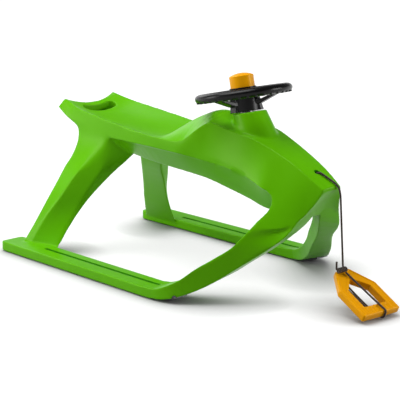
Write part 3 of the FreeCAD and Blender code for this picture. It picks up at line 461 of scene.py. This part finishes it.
def round_over(mesh, region, rounds, outward):
    """Rounds the ridges of a mesh in a region: (low, high) in x, y to either side, and z.

    With outward, only where the surface faces the sled's side at least that squarely."""
    place = rows(mesh.vertices, "co", 3)
    count = len(place)
    weight = np.full(count, SMOOTHING)
    for values, (low, high) in zip((place[:, 0], np.abs(place[:, 1]), place[:, 2]), region):
        weight *= faded(values, low, high, ROUND_FADE)
    if outward:
        facing = rows(mesh.vertex_normals, "vector", 3)
        weight *= facing[:, 1] * np.sign(place[:, 1]) > outward
    ends = rows(mesh.edges, "vertices", 2, np.int64)
    ends = ends[(weight[ends] > 0).any(axis=1)]
    first, second = ends.T
    links = np.maximum(np.bincount(ends.ravel(), minlength=count), 1)
    for _ in range(rounds):
        for values in place.T:
            total = np.bincount(first, values[second], count) + np.bincount(second, values[first], count)
            values += weight * (total / links - values) * (links > 1)
    mesh.vertices.foreach_set("co", place.ravel())
    mesh.update()


def shown(mesh, name, body, material):
    """A new piece from a mesh, on a body."""
    piece = bpy.data.objects.new(name, mesh)
    bpy.context.scene.collection.objects.link(piece)
    set_materials(mesh, material)
    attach(piece, body)
    return piece


def voxels(piece, size):
    """Adds a step that makes a piece's surface anew from small cubes."""
    remesh = piece.modifiers.new("voxels", "REMESH")
    remesh.mode = "VOXEL"
    remesh.voxel_size = size


def shifted(piece, distance):
    """Adds a step that moves a piece's surface outwards."""
    shift = piece.modifiers.new("shifted", "DISPLACE")
    shift.mid_level = 0.0
    shift.strength = distance


def remade(piece, voxel, rounds, close=0.0):
    """A piece's mesh with its edges rounded as a mould rounds them, and with slits closed."""
    voxels(piece, voxel)
    if close:
        shifted(piece, close)
        voxels(piece, voxel)
        shifted(piece, -close)
    soft = piece.modifiers.new("soft", "SMOOTH")
    soft.factor = SMOOTHING
    soft.iterations = rounds
    graph = bpy.context.evaluated_depsgraph_get()
    made = bpy.data.meshes.new_from_object(piece.evaluated_get(graph))
    piece.modifiers.clear()
    return made


def take_over(piece, made, node):
    """Gives a piece its finished mesh, smooth to the light, in place of a CAD node."""
    made.polygons.foreach_set("use_smooth", [True] * len(made.polygons))
    made.name = piece.name
    piece.data = made
    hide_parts(node)


def softened(node, name, edges, material, body):
    """A node's shape with moulded edges, in place of the node."""
    piece = shown(NODES[node].data.copy(), name, body, material)
    made = remade(piece, *edges)
    set_materials(made, material)
    take_over(piece, made, node)
    return piece


def sled_shell(material, dark):
    """The moulded body with rounded ridges, cut grooves, and painted shade in the grooves and holes."""
    mesh = NODES["moulded_body"].data.copy()
    edit(mesh, fill_hollows)
    piece = shown(mesh, "sled_shell", "sled", material)
    made = remade(piece, *BODY_EDGES, CLOSE)
    edit(made, keep_largest)
    for region, rounds, outward in RIDGES:
        round_over(made, region, rounds, outward)
    # the second material is painted shade for the grooves and holes
    set_materials(made, material, dark)
    edit(made, cut_grooves, paint_shade_in_holes)
    take_over(piece, made, "moulded_body")
    return piece


def handle_matrix():
    """The handle's own frame: its apex, with X towards the grip."""
    turn = Matrix.Rotation(math.radians(HANDLE_YAW), 4, "Z")
    turn = turn @ Matrix.Rotation(math.radians(HANDLE_PITCH), 4, "Y")
    return Matrix.Translation(Vector(HANDLE_PLACE) * MM) @ turn


def edge_distance(x, y, outline):
    """Distance from a point to an outline of mirrored (along, half width) points, inside positive."""
    (x0, w0), (x1, w1), (x2, _) = outline
    slope = math.hypot(x1 - x0, w1 - w0)
    slant = ((x - x0) * (w1 - w0) - (abs(y) - w0) * (x1 - x0)) / slope
    return min(x - x0, x2 - x, w1 - abs(y), slant)


def ease(value, start, end):
    """Smooth step from 0 to 1."""
    t = min(1.0, max(0.0, (value - start) / (end - start)))
    return t * t * (3 - 2 * t)


def press_channels(piece):
    """Presses a channel between raised edges into the handle's faces, ribbed along the grip."""
    place = handle_matrix()
    back = place.inverted()
    for vertex in piece.data.vertices:
        x, y, z = (back @ vertex.co) / MM
        outer = ease(edge_distance(x, y, HANDLE_OUTLINE), *CHANNEL_EDGE)
        inner = ease(-edge_distance(x, y, HANDLE_WINDOW), *CHANNEL_EDGE)
        depth = CHANNEL_D * outer * inner * ease(abs(z), *CHANNEL_FACE)
        if x > GRIP_START:
            depth *= 0.5 + 0.5 * math.cos(2 * math.pi * y / GRIP_RIB)
        z -= math.copysign(depth, z)
        vertex.co = place @ (Vector((x, y, z)) * MM)


def cord_piece(name, points, node, material):
    """Round cord along a smooth line with these control points, in place of a CAD node."""
    curve = bpy.data.curves.new(name, "CURVE")
    curve.dimensions = "3D"
    curve.bevel_depth = CORD_R * MM
    curve.bevel_resolution = 5
    curve.resolution_u = 12
    curve.use_fill_caps = True
    line = curve.splines.new("NURBS")
    line.points.add(len(points) - 1)
    for control, point in zip(line.points, points):
        control.co = (*point, 1.0)
    line.order_u = 3
    line.use_endpoint_u = True
    curve.materials.append(material)
    cord = bpy.data.objects.new(name, curve)
    bpy.context.scene.collection.objects.link(cord)
    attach(cord, "sled")
    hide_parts(node)
    return cord


def knot_route():
    """Control points of the knot: the cord's short tail, then turns side by side on the apex."""
    place = handle_matrix()
    width = (WRAP_COUNT - 1) * WRAP_PITCH
    steps = TURN_POINTS * WRAP_COUNT
    turns = []
    for i in range(steps + 1):
        angle = 2 * math.pi * i / TURN_POINTS
        point = Vector((KNOT_REACH - WRAP_R * math.cos(angle), KNOT_Y + width * (i / steps - 0.5),
                        KNOT_Z + WRAP_R * math.sin(angle)))
        turns.append(place @ (point * MM))
    tail = Vector((0, 0, KNOT_TAIL * MM))
    return [turns[0] + tail, turns[0] + tail * TAIL_BEND] + turns


def seen_share(tree):
    """1 for what the camera sees, also in a mirror or through glass, and 0 for light that bounces."""
    path = tree.nodes.new("ShaderNodeLightPath").outputs
    seen = combined(tree, "MAXIMUM", path["Is Camera Ray"], path["Is Glossy Ray"])
    return combined(tree, "MAXIMUM", seen, path["Is Transmission Ray"])


def distance_lift(tree):
    """Light that the floor adds, more of it further from the sled."""
    far = tree.nodes.new("ShaderNodeVectorMath")
    far.operation = "LENGTH"
    tree.links.new(tree.nodes.new("ShaderNodeTexCoord").outputs["Object"], far.inputs[0])
    rise = tree.nodes.new("ShaderNodeMapRange")
    rise.interpolation_type = "SMOOTHSTEP"
    rise.inputs["From Min"].default_value = LIFT_START
    rise.inputs["From Max"].default_value = LIFT_END
    rise.inputs["To Min"].default_value = LIFT_NEAR
    rise.inputs["To Max"].default_value = LIFT_FAR
    tree.links.new(far.outputs["Value"], rise.inputs["Value"])
    return rise.outputs["Result"]


def painted_contact_shadow(tree):
    """1 on open floor, and less close to the sled: a painted contact shadow in the light that the floor
    adds.
    """
    sky = tree.nodes.new("ShaderNodeAmbientOcclusion")
    sky.samples = CONTACT_SAMPLES
    sky.inputs["Distance"].default_value = CONTACT_REACH
    return combined(tree, "POWER", sky.outputs["AO"], CONTACT_DEPTH)


def floor_material():
    """Pale floor that shows white to the camera and keeps the sled's shadow, with a painted contact
    shadow close to the sled.
    """
    material, tree, shader = new_material("studio_floor")
    shader.inputs["Roughness"].default_value = FLOOR_ROUGHNESS
    shader.inputs["Specular IOR Level"].default_value = FLOOR_GLOSS
    shader.inputs["Emission Color"].default_value = WHITE
    seen = seen_share(tree)
    colour = ramp(tree, seen, FLOOR_BOUNCE, FLOOR_SEEN, 0.0, 1.0)
    tree.links.new(colour, shader.inputs["Base Color"])
    # painted contact shadow: the light the floor adds is less close to the sled
    shaded = combined(tree, "MULTIPLY", painted_contact_shadow(tree), distance_lift(tree))
    tree.links.new(combined(tree, "MULTIPLY", seen, shaded), shader.inputs["Emission Strength"])
    return material


def studio_floor():
    """Wide flat floor under the sled."""
    mesh = bpy.data.meshes.new("floor")
    half = FLOOR_HALF
    corners = [(-half, -half, 0), (half, -half, 0), (half, half, 0), (-half, half, 0)]
    mesh.from_pydata(corners, [], [(0, 1, 2, 3)])
    mesh.materials.append(floor_material())
    floor = bpy.data.objects.new("floor", mesh)
    bpy.context.scene.collection.objects.link(floor)


def studio_world():
    """Studio that is white low down all round and dark overhead."""
    world = bpy.data.worlds.new("studio")
    bpy.context.scene.world = world
    world.use_nodes = True
    tree = world.node_tree
    split = tree.nodes.new("ShaderNodeSeparateXYZ")
    place = tree.nodes.new("ShaderNodeTexCoord")
    tree.links.new(place.outputs["Generated"], split.inputs["Vector"])
    fade = ramp(tree, split.outputs["Z"], WHITE, CEILING, WALL_TOP, CEILING_START)
    tree.links.new(fade, tree.nodes["Background"].inputs["Color"])


def softbox(name, place, target, width, height, power):
    """Rectangular soft light that points at a target."""
    light = bpy.data.lights.new(name, "AREA")
    light.shape = "RECTANGLE"
    light.size = width
    light.size_y = height
    light.energy = power
    lamp = bpy.data.objects.new(name, light)
    lamp.location = place
    lamp.rotation_euler = (Vector(target) - Vector(place)).to_track_quat("-Z", "Y").to_euler()
    bpy.context.scene.collection.objects.link(lamp)


def camera():
    """The photograph's camera."""
    azimuth = math.radians(CAMERA_AZIMUTH)
    elevation = math.radians(CAMERA_ELEVATION)
    back = Vector((math.sin(azimuth) * math.cos(elevation), -math.cos(azimuth) * math.cos(elevation),
                   math.sin(elevation)))
    data = bpy.data.cameras.new("camera")
    data.lens = CAMERA_LENS
    data.sensor_width = SENSOR
    data.clip_end = CLIP_END
    eye = bpy.data.objects.new("camera", data)
    eye.location = CAMERA_PLACE
    eye.rotation_euler = (-back).to_track_quat("-Z", "Y").to_euler()
    bpy.context.scene.collection.objects.link(eye)
    bpy.context.scene.camera = eye


def dress_sled(looks):
    """Makes the detailed pieces and gives every other node its material."""
    cord = looks["braided_cord"]
    route = [Vector(p) * MM for p in CORD_ROUTE]
    wound_route = [handle_matrix() @ (Vector(p) * MM) for p in WINDING_ROUTE]
    free = cord_piece("pull_cord_line", route, "pull_cord", cord)
    wound = cord_piece("wound_cord_line", wound_route, "cord_winding", cord)

    body = sled_shell(looks["green_plastic"], looks["painted_shade_green"])
    black = looks["black_plastic"]
    wheel = softened("steering_wheel", "wheel_moulding", WHEEL_EDGES, black, "steering")
    cap = softened("horn_cap", "horn_button", CAP_EDGES, looks["orange_plastic"], "horn")
    grip = softened("pull_handle", "handle_moulding", HANDLE_EDGES, looks["handle_plastic"], "sled")
    press_channels(grip)
    knot = cord_piece("tied_knot", knot_route(), "handle_knot", cord)

    paint(black, "horn_collar")
    paint(looks["rail_steel"], "left_glide_rail", "right_glide_rail", "steering_shaft")
    paint(looks["zinc"], "rail_screws", "thrust_washer", "lock_washer", "lock_nut", "wheel_screw",
          "collar_screws", "horn_spring")
    paint(looks["nylon"], "upper_bush", "lower_bush", "horn_squeaker")
    paint(cord, "stopper_knot")
    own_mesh(NODES["horn_spring"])


def main():
    """Dresses the sled, lights it and takes the photograph's view."""
    bpy.context.scene.view_settings.view_transform = "Standard"
    camera()
    looks = {name: moulded_plastic(name, *values) for name, values in PLASTICS.items()}
    for name, values in METALS.items():
        looks[name] = metal(name, *values)
    looks["braided_cord"] = braided_cord()
    dress_sled(looks)
    studio_floor()
    studio_world()
    for lamp in LAMPS:
        softbox(*lamp)


main()
